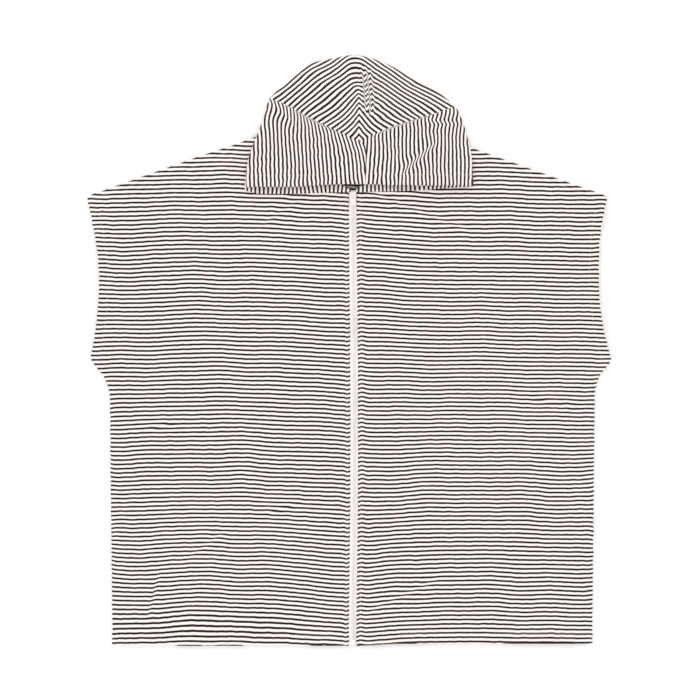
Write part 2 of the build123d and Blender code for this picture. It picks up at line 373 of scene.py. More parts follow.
# Creases in the hood: two ends, how high the cloth stands there, and how far the stripes jump, in stripes
CREASES = (
    ((98, 243), (68, 215), 1.4, 0.5),
    ((-99, 293), (-74, 270), 1.2, -0.2),
    ((101, 277), (123, 277), 0.8, 0.35),
    ((30, 330), (24, 286), 1.3, 0.14),
    ((20, 322), (17, 292), -0.9, 0.14),
)


def crown_height(x, y):
    """The hood's upper layer, rounding down to the lower one at its rim, and drawn in along its folds."""
    rim = np.minimum(away(border[-1], x, y), away(border[1], x, y))
    rise = crown_top - cheek_z - LAYER_STEP
    folds = bump(away([corner[-1], nape, corner[1]], x, y), 2.0)
    seam = bump(x - hood_x, 1.8)
    inside = 1 - tuck(rim, FOLD_REACH)
    z = cheek_height(x, y) + LAYER_STEP + rise * inside
    lift = 0.5 * billow(x + 300, y) + 0.3 * pucker(x + 90, y)
    for start, end, high, _ in CREASES:
        lift = lift + high * bump(away([start, end], x, y), 3.5)
    return z + inside * (lift - 0.9 * folds - 0.6 * seam)


# --- Sewing: grids of cloth made into closed pieces ---

MEET = 1e-3  # points this near each other are one


def sew(name, patches, material):
    """One closed piece from grids of (points, flat-cloth coordinates, thickness), all in millimetres."""
    points, flats, thick, quads, start = [], [], [], [], 0
    for place, flat, t in patches:
        rows, cols = place.shape[:2]
        index = start + np.arange(rows * cols).reshape(rows, cols)
        cell = np.stack([index[:-1, :-1], index[:-1, 1:], index[1:, 1:], index[1:, :-1]], -1).reshape(-1, 4)
        a, b, c = (place.reshape(-1, 3)[cell[:, k] - start] for k in (0, 1, 2))
        if np.cross(b - a, c - b)[:, 2].sum() < 0:
            cell = cell[:, ::-1]
        quads.append(cell)
        points.append(place.reshape(-1, 3))
        flats.append(flat.reshape(-1, 2))
        thick.append(t.reshape(-1))
        start += rows * cols
    points, flats, thick, quads = (np.concatenate(part) for part in (points, flats, thick, quads))
    cells = np.round(points / MEET).astype(np.int64)
    _, first, same = np.unique(cells, axis=0, return_index=True, return_inverse=True)
    points, flats, thick, quads = points[first], flats[first], thick[first], same.reshape(-1)[quads]

    # The way the cloth faces at each point, and along its rim the way outward
    normal = np.zeros_like(points)
    facing = np.cross(points[quads[:, 2]] - points[quads[:, 0]], points[quads[:, 3]] - points[quads[:, 1]])
    for k in range(4):
        np.add.at(normal, quads[:, k], facing)
    normal /= np.maximum(np.linalg.norm(normal, axis=1, keepdims=True), 1e-9)

    total = len(points)
    pairs = np.concatenate([quads[:, [k, (k + 1) % 4]] for k in range(4)])
    pairs = pairs[pairs[:, 0] != pairs[:, 1]]
    code, back = pairs[:, 0] * total + pairs[:, 1], pairs[:, 1] * total + pairs[:, 0]
    rim = pairs[~np.isin(code, back)]
    outward = np.zeros_like(points)
    along = points[rim[:, 1]] - points[rim[:, 0]]
    push = np.cross(along, normal[rim[:, 0]])
    push /= np.maximum(np.linalg.norm(push, axis=1, keepdims=True), 1e-9)
    np.add.at(outward, rim[:, 0], push)
    np.add.at(outward, rim[:, 1], push)
    outward /= np.maximum(np.linalg.norm(outward, axis=1, keepdims=True), 1e-9)
    rim_points = np.unique(rim)
    middle = {v: 2 * total + k for k, v in enumerate(rim_points)}

    # Both faces of the cloth, joined by a rounded edge
    half = thick[:, None] / 2
    edge = (points + outward * half)[rim_points]
    verts = np.concatenate([points + normal * half, points - normal * half, edge])
    flats = np.concatenate([flats, flats, flats[rim_points]])
    faces = []
    for quad in quads.tolist():
        face = [v for k, v in enumerate(quad) if v not in quad[:k]]
        if len(face) > 2:
            faces.append(face)
            faces.append([v + total for v in reversed(face)])
    for a, b in rim.tolist():
        faces.append([b, a, middle[a], middle[b]])
        faces.append([middle[b], middle[a], a + total, b + total])
    return finish_mesh(name, verts, faces, flats, material)


def body_shift(x, y):
    """The body lies to the right at the hem and to the left at the shoulders, and isn't quite level."""
    dx = (4.0 * smooth((60 - y) / 130) - 2.2 * smooth((y - 80) / 80)) * smooth((abs(x - zip_x) - 30) / 150)
    dy = 2.4 * smooth((x - zip_x) / 60) * smooth((hem_y + 50 - y) / 50)
    return np.stack([dx, dy - 1.1 * bump(x + 135, 30) * smooth((y - 215) / 25)], -1)


def finish_mesh(name, verts, faces, flats, material):
    """A smooth mesh piece. The body's pieces are shifted together, and the hood's already lie askew."""
    mesh = bpy.data.meshes.new(name)
    verts = np.array(verts, float)
    if not name.startswith(("hood", "brim")):
        verts[:, :2] += body_shift(verts[:, 0], verts[:, 1])
    mesh.from_pydata((verts * MM).tolist(), [], faces)
    if flats is not None:
        loops = np.zeros(len(mesh.loops), np.int32)
        mesh.loops.foreach_get("vertex_index", loops)
        layer = mesh.uv_layers.new(name="Cloth")
        layer.data.foreach_set("uv", (np.asarray(flats)[loops] * MM).astype(np.float32).ravel())
    mesh.polygons.foreach_set("use_smooth", np.ones(len(mesh.polygons), bool))
    mesh.update()
    piece = bpy.data.objects.new(name, mesh)
    bpy.context.scene.collection.objects.link(piece)
    mesh.materials.append(material)
    return piece


def patch(x, y, z, u, v, t):
    """One grid of cloth: where its points lie, where they are on the flat cloth, and how thick they are."""
    return np.stack([x, y, z], -1), np.stack([u, v], -1), t


# --- Finishes ---


def linear(code):
    """An sRGB hex colour as linear light, with full alpha."""
    parts = [int(code[k : k + 2], 16) / 255 for k in (1, 3, 5)]
    return [c / 12.92 if c <= 0.04045 else ((c + 0.055) / 1.055) ** 2.4 for c in parts] + [1.0]


def add(tree, kind, inputs=None, **settings):
    """Adds a node; an input takes either a value or another node's output."""
    node = tree.nodes.new(kind)
    for key, value in settings.items():
        setattr(node, key, value)
    for key, value in (inputs or {}).items():
        if isinstance(value, bpy.types.NodeSocket):
            tree.links.new(value, node.inputs[key])
        else:
            node.inputs[key].default_value = value
    return node


def start_finish(name):
    finish = bpy.data.materials.new(name)
    finish.use_nodes = True
    tree = finish.node_tree
    tree.nodes.clear()
    return finish, tree


def end_finish(tree, inputs):
    shader = add(tree, "ShaderNodeBsdfPrincipled", inputs)
    add(tree, "ShaderNodeOutputMaterial", {"Surface": shader.outputs[0]})


LOOP_SPACING = 0.8  # between the towelling's loops
STRIPE_BLUR = 0.035  # half the soft edge of a stripe, as a share of the pitch


def striped_towelling(name, pitch, phase, dark):
    """Yarn-dyed cotton towelling, knitted with short loops: a soft, matt, slightly uneven stripe."""
    finish, tree = start_finish(name)
    flat = add(tree, "ShaderNodeUVMap", uv_map="Cloth").outputs[0]
    mm = add(tree, "ShaderNodeVectorMath", {0: flat, 1: (1 / MM,) * 3}, operation="MULTIPLY").outputs[0]
    # A stripe's edge wanders by a fraction of a loop
    fray = add(tree, "ShaderNodeTexNoise", {"Vector": mm, "Scale": 0.9, "Detail": 2.0}).outputs[0]
    fray = add(tree, "ShaderNodeMath", {0: fray, 1: -0.5}, operation="ADD").outputs[0]
    across = add(tree, "ShaderNodeSeparateXYZ", {0: mm}).outputs[1]
    wandering = add(tree, "ShaderNodeMath", {0: fray, 1: 0.7, 2: across}, operation="MULTIPLY_ADD").outputs[0]
    count = {0: wandering, 1: 1 / pitch, 2: phase}
    turn = add(tree, "ShaderNodeMath", count, operation="MULTIPLY_ADD").outputs[0]
    swing = add(tree, "ShaderNodeMath", {0: turn, 1: 0.5}, operation="PINGPONG").outputs[0]
    edge = {0: swing, 1: dark / 2 - STRIPE_BLUR, 2: dark / 2 + STRIPE_BLUR}
    pale = add(tree, "ShaderNodeMapRange", edge, interpolation_type="SMOOTHSTEP").outputs[0]

    knit = {"Vector": mm, "Scale": 1 / LOOP_SPACING, "Randomness": 0.7}
    loops = add(tree, "ShaderNodeTexVoronoi", knit, feature="SMOOTH_F1").outputs[0]
    tone = add(tree, "ShaderNodeTexNoise", {"Vector": mm, "Scale": 0.035, "Detail": 3.0}).outputs[0]
    cream = {0: tone, 6: linear("#f4ede8"), 7: linear("#efe4e0")}
    cream = add(tree, "ShaderNodeMix", cream, data_type="RGBA").outputs[2]
    worn = add(tree, "ShaderNodeMapRange", {0: fray, 1: -0.25, 2: 0.35}).outputs[0]
    black = {0: worn, 6: linear("#1b1210"), 7: linear("#302420")}
    black = add(tree, "ShaderNodeMix", black, data_type="RGBA").outputs[2]
    stripe = add(tree, "ShaderNodeMix", {0: pale, 6: black, 7: cream}, data_type="RGBA").outputs[2]
    # Painted shade: the colour darkens between the loops, where their relief is low
    painted_loop_shade = add(tree, "ShaderNodeMapRange", {0: loops, 1: 0.25, 2: 0.75, 3: 1.0, 4: 0.93}).outputs[0]
    shaded = {0: 1.0, 6: stripe, 7: painted_loop_shade}
    colour = add(tree, "ShaderNodeMix", shaded, data_type="RGBA", blend_type="MULTIPLY").outputs[2]

    crinkle = add(tree, "ShaderNodeTexNoise", {"Vector": mm, "Scale": 0.22, "Detail": 3.0}).outputs[0]
    height = add(tree, "ShaderNodeMath", {0: loops, 1: -0.5, 2: crinkle}, operation="MULTIPLY_ADD").outputs[0]
    relief = add(tree, "ShaderNodeBump", {"Strength": 0.6, "Distance": 0.0006, "Height": height}).outputs[0]
    end_finish(tree, {"Base Color": colour, "Roughness": 0.94, "Sheen Weight": 0.12, "Sheen Roughness": 0.5,
                      "Specular IOR Level": 0.2, "Normal": relief})
    return finish


def woven_tape():
    """Woven polyester zip tape: fine diagonal ribs, matt and whiter than the cotton."""
    finish, tree = start_finish("woven_polyester_tape")
    place = add(tree, "ShaderNodeTexCoord").outputs["Object"]
    weave = {"Vector": place, "Scale": 260.0, "Distortion": 0.4}
    ribs = add(tree, "ShaderNodeTexWave", weave, bands_direction="DIAGONAL").outputs[1]
    dust = add(tree, "ShaderNodeTexNoise", {"Vector": place, "Scale": 900.0}).outputs[0]
    whites = {0: dust, 6: linear("#fffcfb"), 7: linear("#fbf4f3")}
    colour = add(tree, "ShaderNodeMix", whites, data_type="RGBA").outputs[2]
    relief = add(tree, "ShaderNodeBump", {"Strength": 0.5, "Distance": 0.0002, "Height": ribs}).outputs[0]
    end_finish(tree, {"Base Color": colour, "Roughness": 0.85, "Specular IOR Level": 0.3, "Normal": relief})
    return finish


def smooth_plastic(name, light, deep, roughness, grain):
    """A near-white nylon, acetal or enamel: a soft gloss with a faint mould texture."""
    finish, tree = start_finish(name)
    place = add(tree, "ShaderNodeTexCoord").outputs["Object"]
    mottle = add(tree, "ShaderNodeTexNoise", {"Vector": place, "Scale": grain, "Detail": 4.0}).outputs[0]
    tones = {0: mottle, 6: linear(light), 7: linear(deep)}
    colour = add(tree, "ShaderNodeMix", tones, data_type="RGBA").outputs[2]
    gloss = add(tree, "ShaderNodeMapRange", {0: mottle, 3: roughness - 0.06, 4: roughness + 0.1}).outputs[0]
    relief = add(tree, "ShaderNodeBump", {"Strength": 0.15, "Distance": 0.0001, "Height": mottle}).outputs[0]
    end_finish(tree, {"Base Color": colour, "Roughness": gloss, "Normal": relief})
    return finish


def spun_thread():
    """Spun polyester sewing thread, two strands twisted: off-white, with a fine diagonal twist."""
    finish, tree = start_finish("spun_polyester_thread")
    place = add(tree, "ShaderNodeTexCoord").outputs["Object"]
    strands = {"Vector": place, "Scale": 500.0}
    twist = add(tree, "ShaderNodeTexWave", strands, bands_direction="DIAGONAL").outputs[1]
    # The thread's own mid-warm off-white with painted shade: darker in the twist's grooves, where the relief
    # is low, and lighter on its ridges
    painted_twist_shade = {0: twist, 6: linear("#cfc6c1"), 7: linear("#e8e1dc")}
    colour = add(tree, "ShaderNodeMix", painted_twist_shade, data_type="RGBA").outputs[2]
    relief = add(tree, "ShaderNodeBump", {"Strength": 0.4, "Distance": 0.0001, "Height": twist}).outputs[0]
    end_finish(tree, {"Base Color": colour, "Roughness": 0.7, "Sheen Weight": 0.2, "Normal": relief})
    return finish


body_cloth = striped_towelling("striped_cotton_towelling", BODY_PITCH, 0.1, BODY_DARK)
hood_cloth = striped_towelling("striped_cotton_towelling_hood", HOOD_PITCH, 0.25, HOOD_DARK)
tape_finish = woven_tape()
coil_finish = smooth_plastic("nylon_coil", "#fffdfc", "#f8f1f0", 0.32, 1400.0)
plastic_finish = smooth_plastic("moulded_acetal", "#f8f8f6", "#e9e8e6", 0.35, 700.0)
enamel_finish = smooth_plastic("enamelled_zinc", "#fffafa", "#e9e1e1", 0.25, 500.0)
thread_finish = spun_thread()

# --- The body ---


def rise(x, y):
    """How far the cloth, laid out by hand, has been pushed up between the zip and the side seams."""
    d = abs(x - zip_x)
    left = 6.2 + 4.4 * smooth((-140 - y) / 160)
    left = left * np.sin(pi / 2 * np.clip(d / 185, 0, 1)) * (1 - 0.35 * smooth((d - 185) / 95))
    right = (10.5 * smooth((120 - y) / 370) - 5.5) * smooth(d / 110) - 2.4 * smooth((d - 150) / 120)
    return np.where(x < zip_x, left, right) * (0.5 + 0.5 * smooth((y - hem_y) / 45))


# Small creases in the body: two ends, and how far the stripes jump
KINKS = (
    ((26, 189), (138, 146), -0.7),
    ((32, -310), (95, -281), -0.7),
    ((-244, -315), (-234, -277), -0.8),
    ((-95, 155), (-65, 176), -0.6),
    ((-95, -195), (-70, -188), 0.6),
    ((-240, -95), (-215, -88), 0.6),
    ((225, -60), (262, -68), 0.6),
    ((-190, -245), (-160, -222), -0.6),
)


def body_stripe(x, y, seed_shift):
    """Where on the flat cloth a point of the body lies, across its stripes."""
    v = y - rise(x, y) + 0.6 * sway(x + seed_shift, y) + 0.22 * flutter(x + seed_shift, y)
    for start, end, jump in KINKS:
        v = v + jump * np.tanh(beside(start, end, x, y) / 1.8) * bump(away([start, end], x, y), 8)
    side = away(side_path, abs(x), y)
    return v + 1.1 * np.exp(-side / 4.0) * np.sin(0.05 * y + seed_shift)


HALF_WIDTH = 300.0  # of a body panel, for spacing the points along its rows
INSET = 0.02  # how far inside its CAD outline a panel's first row starts
PANEL_SHIFT = {"left": 37.0, "right": 0.0, "back": 91.0}  # so that no two panels waver alike
STANDS_BACK = {-1: -2.0, 1: 1.1}  # how far a front's edge has drawn back from the zip


def front(hand):
    """A front. Its stripes bend a little beside the zip, where its edge is turned and stitched."""
    label = "right" if hand > 0 else "left"
    node = f"front_panel_{label}"
    edges = plan_edges(node)
    rows = ladder(hem_y + INSET, box(node)[1][1] - INSET)
    outer = follow(edges, rows, 1, 1 if hand > 0 else 0)
    inner = follow(edges, rows, 1, 0 if hand > 0 else 1)
    inner = inner + (zip_waver(rows) + STANDS_BACK[hand]) * (rows < throat_y)
    share = shares(HALF_WIDTH)
    x = inner[:, None] + (outer - inner)[:, None] * share[None, :]
    y = np.repeat(rows[:, None], len(share), 1)
    x = x + 0.5 * flutter(y, x) * (share[None, :] ** 4)
    d = abs(x - zip_x - zip_waver(y)) - placket
    v = body_stripe(x, y, PANEL_SHIFT[label])
    hook = smooth((throat_y - 20 - y) / 40)
    if hand > 0:
        v = v + (1.1 * np.exp(-d / 1.4) - 1.3 * bump(d - ZIP_HEM, 4.5)) * hook
    else:
        v = v + (0.9 * bump(d - ZIP_HEM, 2.2) - 1.4 * np.exp(-d / 1.4)) * hook
    cloth = patch(x, y, front_height(x, y), x, v, body_thickness(x, y, True))
    piece = sew(f"front_{label}", [cloth], body_cloth)
    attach(piece, "towel")
    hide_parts(node)
    return piece


def back_patch(x, y):
    v = body_stripe(x, y, PANEL_SHIFT["back"])
    return patch(x, y, back_height(x, y), x, v, body_thickness(x, y, False))


def back():
    """The back: one grid up to the foot of the neck curve, and one on each side of it above that."""
    rows = ladder(hem_y + INSET, neck_back_y)
    outer = follow(back_edges, rows, 1, 1)
    half = shares(HALF_WIDTH)
    share = np.concatenate([-half[:0:-1], half])
    patches = [back_patch(outer[:, None] * share[None, :], np.repeat(rows[:, None], len(share), 1))]
    rows = np.linspace(neck_back_y, neck_y - INSET, 9)
    outer = follow(back_edges, rows, 1, 1)
    inner = neck[0] * np.sqrt(np.clip((rows - neck_back_y) / (neck_y - neck_back_y), 0, 1))
    for hand in (-1, 1):
        x = hand * (inner[:, None] + (outer - inner)[:, None] * half[None, :])
        patches.append(back_patch(x, np.repeat(rows[:, None], len(half), 1)))
    piece = sew("back", patches, body_cloth)
    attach(piece, "towel")
    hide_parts("back_panel")
    return piece


def run_along(path):
    """How far along a path each of its points lies."""
    return np.concatenate([[0], np.cumsum(np.linalg.norm(np.diff(path, axis=0), axis=1))])


def allowance(name, path, width, z, t, node, cloth=body_cloth):
    """A narrow strip of cloth along a seam, faintly puckered by its stitching."""
    path = np.array(path, float)
    ahead = np.gradient(path, axis=0)
    ahead /= np.linalg.norm(ahead, axis=1, keepdims=True)
    sideways = np.stack([-ahead[:, 1], ahead[:, 0]], -1)
    offsets = np.linspace(0, width, 5)
    x = path[:, 0:1] + sideways[:, 0:1] * offsets
    y = path[:, 1:2] + sideways[:, 1:2] * offsets
    u = np.repeat(offsets[None, :], len(path), 0)
    v = np.repeat(run_along(path)[:, None], len(offsets), 1)
    z = np.reshape(z, (-1, 1)) + 0.15 * np.sin(v / 2.3)
    piece = sew(name, [patch(x, y, z, u, v, np.full(x.shape, t))], cloth)
    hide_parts(node)
    return piece


def neckline(hand, share, roundness):
    """A front's neckline, from the throat (0) to the shoulder (1)."""
    throat = np.array([zip_x + hand * placket, throat_y])
    shoulder = neck * np.array([hand, 1])
    outward = np.array([hand * 0.72, -0.69])
    share = np.reshape(share, (-1, 1))
    return throat * (1 - share) + shoulder * share + outward * NECK_BOW * np.sin(pi * share) ** roundness


def seams():
    """The allowances of the side, shoulder and neck seams, turned to the inside."""
    width, inset = 6.0, 2.5
    between = 2.9  # the height midway between a front and the back where they meet
    made = []
    for hand, label in HANDS:
        line = [(hand * (x - inset), y) for x, y in side_path]
        node = f"side_seam_{label}"
        made.append(allowance(f"side_allowance_{label}", line, width * hand, between, 0.5, node))
        share = np.linspace(0.02, 0.92, 40)[:, None]
        line = (tip * (1 - share) + neck * share) * np.array([hand, 1]) - np.array([0, inset])
        node = f"shoulder_seam_{label}"
        made.append(allowance(f"shoulder_allowance_{label}", line, width * hand, between, 0.5, node))
        line = neckline(hand, np.linspace(0.18, 0.8, 24), 1) + np.array([hand * 1.5, -1.5])
        node = f"neck_seam_{label}"
        made.append(allowance(f"neck_allowance_{label}", line, -width * hand, front_z - 1.8, 0.8, node))
    reach = 39.0  # half the back's neck seam
    xs = np.linspace(-reach, reach, 30)
    line = np.stack([xs, neck_back_y + 0.2 + 4.5 * (xs / reach) ** 2], -1)
    made.append(allowance("neck_allowance_back", line, -5.0, 3.6, 1.2, "neck_seam_back"))
    for piece in made:
        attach(piece, "towel")
    return made


# --- The hood ---


def brim_line(x):
    """The face opening's edge, a little higher over the throat."""
    return brim_y - 1.2 + 3.4 * smooth((x + 75) / 65) - 1.2 * smooth((x - 15) / 40)


def crown_phase(x, y, hand):
    """How many stripes a point of the crown, above its fold, lies out from the nape's, as 0 or less.

    The stripes leave the fold evenly spaced and run up to the centre seam, where the ones nearest the nape are
    spread the most. The point's own stripe is found by halving the range that it may be in.
    """
    count = CROWN_STRIPES[hand]
    past_corner = 12.0  # how many stripes beyond the corner the range takes in
    low, high = np.full(x.shape, -past_corner), np.full(x.shape, count)
    halvings = 26
    for _ in range(halvings):
        k = (low + high) / 2
        lx = corner[hand][0] + (nape[0] - corner[hand][0]) * k / count
        ly = corner[hand][1] + (nape[1] - corner[hand][1]) * k / count
        up = count - k
        sy = nape[1] + SEAM_PITCH * up + NAPE_SPREAD * np.sign(up) * (1 - np.exp(-abs(up) / SPREAD_OVER))
        along = (x - lx) / (nape[0] - lx + 1e-6 * -hand)
        bend = 1 + 0.5 * smooth(2 * k / count - 0.7)
        above = (along < 0) | (y > ly + (sy - ly) * np.clip(along, 0, None) ** bend)
        high = np.where(above, k, high)
        low = np.where(above, low, k)
    return (low + high) / 2 - count


def hood_stripe(x, y, hand, crown):
    """Where on the flat cloth a point of the hood lies, across its stripes."""
    if crown:
        # The two sides' stripes run into each other softly across the centre seam
        width = 0.8 + 9.5 * smooth((y - 304) / 26) * bump(x - hood_x, 42)
        parts = []
        for shift in (-1.0, -0.5, 0.0, 0.5, 1.0):
            at = x + shift * width
            own = np.where((at - hood_x) * hand >= 0, hand, -hand)
            parts.append(np.where(own > 0, crown_phase(at, y, 1), crown_phase(at, y, -1)))
        k = sum(parts) / len(parts)
    else:
        depth = fold_line(x) - y
        slip = SEAM_SLIP * bump(x - hood_x, 40) * smooth(depth / 2.2)
        lies_at = x + askew(x, y)[0] * smooth(depth / 30) + slip
        inward = hand * (hood_x - lies_at)
        lean = SIDE_LEAN[hand] * smooth(1 + inward / 40) * depth
        if hand < 0:
            lean = lean + LEFT_CURVE * (1 - np.exp(-np.maximum(depth, 0) / CURVE_OVER))
        k = (inward - lean) * SIDE_STRIPES[hand] / corner_half
    drift = 0.10 * hood_sway(x, y) + 0.055 * hood_flutter(x, y)
    for start, end, _, jump in CREASES:
        drift = drift + jump * np.tanh(beside(start, end, x, y) / 2.0) * bump(away([start, end], x, y), 9)
    # The cloth is rucked just to the right of the seam
    ruck = bump(x - hood_x - 13, 7) * smooth((y - 278) / 12) * smooth((345 - y) / 20)
    drift = drift + 0.5 * ruck * np.sin(x * 2 * pi / 5.6)
    return k * HOOD_PITCH + drift * HOOD_PITCH


def crown_thickness(x, y):
    return np.clip(CLOTH + hem(y - brim_line(x), HEM_WIDTH), 0.8, 3.0)


def crown(hand):
    """Half of the upper layer: the side from the brim up to the crown fold, and the crown from there up."""
    label = "right" if hand > 0 else "left"
    share = shares(130.0, fine=1.0, band=14.0, coarse=2.6)[None, :]
    rows = shares(80.0, fine=1.1, band=15.0, coarse=2.4)[:, None]
    fold = corner[hand][:, None, None] + (nape - corner[hand])[:, None, None] * share[None]
    start_x = hood_side(np.array([brim_y]), hand)[0]
    base_x = start_x + (hood_x - start_x) * share
    y = brim_line(base_x) + (fold[1] - brim_line(base_x)) * rows
    side = hood_side(y.ravel(), hand).reshape(y.shape)
    x = side + (hood_x - side) * share
    x = x + (fold[0] - x[-1:, :]) * rows**2
    lower = (x, y, hood_stripe(x, y, hand, False))

    rows = np.linspace(0, 1, 34)[:, None]
    roof_x = corner[hand][0] + (hood_x - corner[hand][0]) * share
    roof_y = hood_roof(roof_x)
    x = fold[0] + (roof_x - fold[0]) * rows
    y = fold[1] + (roof_y - fold[1]) * rows
    upper = (x, y, hood_stripe(x, y, hand, True))
    patches = []
    for (x, y, v), u in ((lower, lower[1]), (upper, upper[0])):
        z, t = crown_height(x, y), crown_thickness(x, y)
        sx, sy = slump(x, y)
        patches.append(patch(sx, sy, z, u, v, t))
    piece = sew(f"hood_{label}", patches, hood_cloth)
    lift_with_brim(piece, hand)
    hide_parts(f"hood_crown_{label}")
    return piece


def lift_with_brim(piece, hand):
    """Works out which way is inward from the hood's side towards the apex, and bakes the piece's place into
    its mesh.
    """
    throat = np.array([hood_x, brim_y])
    start = np.array([hood_right if hand > 0 else hood_left, brim_y])
    along = (apex - start) / np.linalg.norm(apex - start)
    inward = np.array([hand * -along[1], hand * along[0]])
    inward = inward if inward @ (throat - start) > 0 else -inward
    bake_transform(piece)


def cheek(hand):
    """The lower layer: from the neckline out to the side fold, and back under the crown."""
    label = "right" if hand > 0 else "left"
    xs = np.linspace(neck[0] * hand, zip_x, 40)[1:]
    back_arc = np.stack([xs, neck_back_y + (neck_y - neck_back_y) * (abs(xs) / neck[0]) ** 2], -1)
    inner = resample(np.concatenate([neckline(hand, np.linspace(0, 1, 60), 2), back_arc]), 110)
    xs = np.linspace(zip_x + hand * placket, hood_side(np.array([lip_y]), hand)[0], 40)
    lip = np.stack([xs, lip_line(xs)], -1)
    levels = np.linspace(lip_y, crown_corner_y, 30)[1:]
    levels = levels[levels > lip[-1, 1]]
    side = np.stack([hood_side(levels, hand), levels], -1)
    xs = np.linspace(corner[hand][0], zip_x, 40)[1:]
    roof = np.stack([xs, hood_roof(xs)], -1)
    outer = resample(np.concatenate([lip, side, roof]), 110)
    share = shares(60.0, fine=1.2, band=10.0, coarse=2.6)[None, :]
    x = outer[:, 0:1] + (inner - outer)[:, 0:1] * share
    y = outer[:, 1:2] + (inner - outer)[:, 1:2] * share
    z = cheek_height(x, y)
    t = np.clip(CLOTH + hem(y - lip_line(x), LIP_HEM), 0.8, 2.2)
    v = x + 1.0 * hood_sway(x + 50, y) + 2.4
    sx, sy = slump(x, y)
    keep = smooth((y - lip_y - 4) / 20)
    sx, sy = x + (sx - x) * keep, y + (sy - y) * keep
    piece = sew(f"hood_under_{label}", [patch(sx, sy, z, y, v, t)], hood_cloth)
    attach(piece, "towel")
    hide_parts(f"hood_cheek_{label}")
    return piece


def lip_line(x):
    """The lower layer's edge, which shows past the brim and droops to the right."""
    left = lip_y - 3.2 + 1.8 * smooth((x + 70) / 60) + 3.5 * smooth((-x - 108) / 15)
    return left + 1.3 * smooth((x - 10) / 40) + 5.6 * smooth((x - 50) / 110)


def resample(path, count):
    """A path's points, evenly spaced."""
    run = run_along(path)
    at = np.linspace(0, run[-1], count)
    return np.stack([np.interp(at, run, path[:, k]) for k in (0, 1)], -1)


def hood_allowance():
    """The allowance of the hood's centre seam, under the upper layer."""
    ys = np.linspace(brim_y + 4, hood_top - 6, 60)
    xs = np.full(ys.shape, hood_x + 2.5)
    z = crown_height(xs, ys) - 1.6
    line = np.stack([xs, ys], -1)
    piece = allowance("hood_allowance", line, 5.0, z, 0.7, "hood_centre_seam", hood_cloth)
    lift_with_brim(piece, -1)
    return piece


# --- The zip ---


def tape(hand):
    """A woven tape, with the cord along its inner edge that the coil is sewn to."""
    label = "right" if hand > 0 else "left"
    low, high = box(f"zip_tape_{label}")
    rows = np.linspace(low[1], high[1], 220)[:, None]
    across = np.linspace(*TAPE_EDGES, 9)[None, :]
    x = zip_x + zip_waver(rows) + hand * across
    y = np.repeat(rows, across.size, 1)
    z = np.full(x.shape, (tape_low[2] + tape_high[2]) / 2) + 0.3 * bump(across - 1.0, 0.8)
    cloth = patch(x, y, z, x, y, np.full(x.shape, TAPE_THICK))
    piece = sew(f"tape_{label}", [cloth], tape_finish)
    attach(piece, "towel")
    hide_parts(f"zip_tape_{label}")
    return piece


def coil(hand):
    """A nylon coil: one monofilament wound into flat loops, whose heads mesh with the other side's."""
    label = "right" if hand > 0 else "left"
    low, high = box(f"zip_coil_{label}")
    turns = int((high[1] - low[1]) / COIL_PITCH)
    samples, sides = 10, 5
    turn = np.arange(turns * samples + 1) / samples
    angle = 2 * pi * turn
    y = low[1] + COIL_PITCH * (turn + (0.25 if hand > 0 else -0.25)) + 0.4
    x = zip_x + zip_waver(y) + hand * (COIL_OUT - COIL_REACH * np.cos(angle))
    z = coil_foot + COIL_UP + COIL_RISE * np.sin(angle)
    centre = np.stack([x, y, z], -1)
    ahead = np.gradient(centre, axis=0)
    ahead /= np.linalg.norm(ahead, axis=1, keepdims=True)
    first = np.cross(ahead, np.array([0, 1, 0]))
    first /= np.linalg.norm(first, axis=1, keepdims=True)
    second = np.cross(ahead, first)
    around = (2 * pi * np.arange(sides) / sides)[None, :, None]
    ring = first[:, None] * np.cos(around) + second[:, None] * np.sin(around)
    verts = (centre[:, None] + NYLON_RADIUS * ring).reshape(-1, 3)
    faces = []
    for k in range(len(centre) - 1):
        for s in range(sides):
            n = (s + 1) % sides
            faces.append([k * sides + s, k * sides + n, (k + 1) * sides + n, (k + 1) * sides + s])
    faces.append(list(reversed(range(sides))))
    faces.append([(len(centre) - 1) * sides + s for s in range(sides)])
    piece = finish_mesh(f"coil_{label}", verts, faces, None, coil_finish)
    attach(piece, "towel")
    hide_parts(f"zip_coil_{label}")
    return piece


# --- Stitching ---


def stitches(name, paths, node, blend_hand=0):
    """Lock stitches along lines of points: short ovals of thread, each dipping into the cloth at its ends."""
    verts, faces = [], []
    for path in paths:
        run = run_along(path)
        for middle in np.arange(STITCH_STEP / 2, run[-1], STITCH_STEP):
            places = [middle + STITCH_LENGTH * share for share, _, _ in STITCH_PROFILE]
            x, y, z = (np.interp(places, run, path[:, axis]) for axis in range(3))
            ahead = np.array([x[-1] - x[0], y[-1] - y[0]])
            ahead /= max(np.linalg.norm(ahead), 1e-9)
            start = len(verts)
            for k, (_, radius, lift) in enumerate(STITCH_PROFILE):
                if radius == 0.0:
                    verts.append((x[k], y[k], z[k] + lift))
                    continue
                for a in range(STITCH_SIDES):
                    turn = 2 * pi * a / STITCH_SIDES
                    w, h = radius * cos(turn), radius * sin(turn)
                    verts.append((x[k] - ahead[1] * w, y[k] + ahead[0] * w, z[k] + lift + h))
            rings = [start + 1 + STITCH_SIDES * k for k in range(len(STITCH_PROFILE) - 2)]
            last = len(verts) - 1
            for a in range(STITCH_SIDES):
                b = (a + 1) % STITCH_SIDES
                faces.append([start, rings[0] + b, rings[0] + a])
                faces.append([last, rings[2] + a, rings[2] + b])
                for k in (0, 1):
                    faces.append([rings[k] + a, rings[k] + b, rings[k + 1] + b, rings[k + 1] + a])
    piece = finish_mesh(name, verts, faces, None, thread_finish)
    if blend_hand:
        lift_with_brim(piece, blend_hand)
    else:
        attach(piece, "towel")
    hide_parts(node)
    return piece


def on_front(x, y):
    return np.stack([x, y, front_height(x, y) + body_thickness(x, y, True) / 2 + ON_CLOTH], -1)


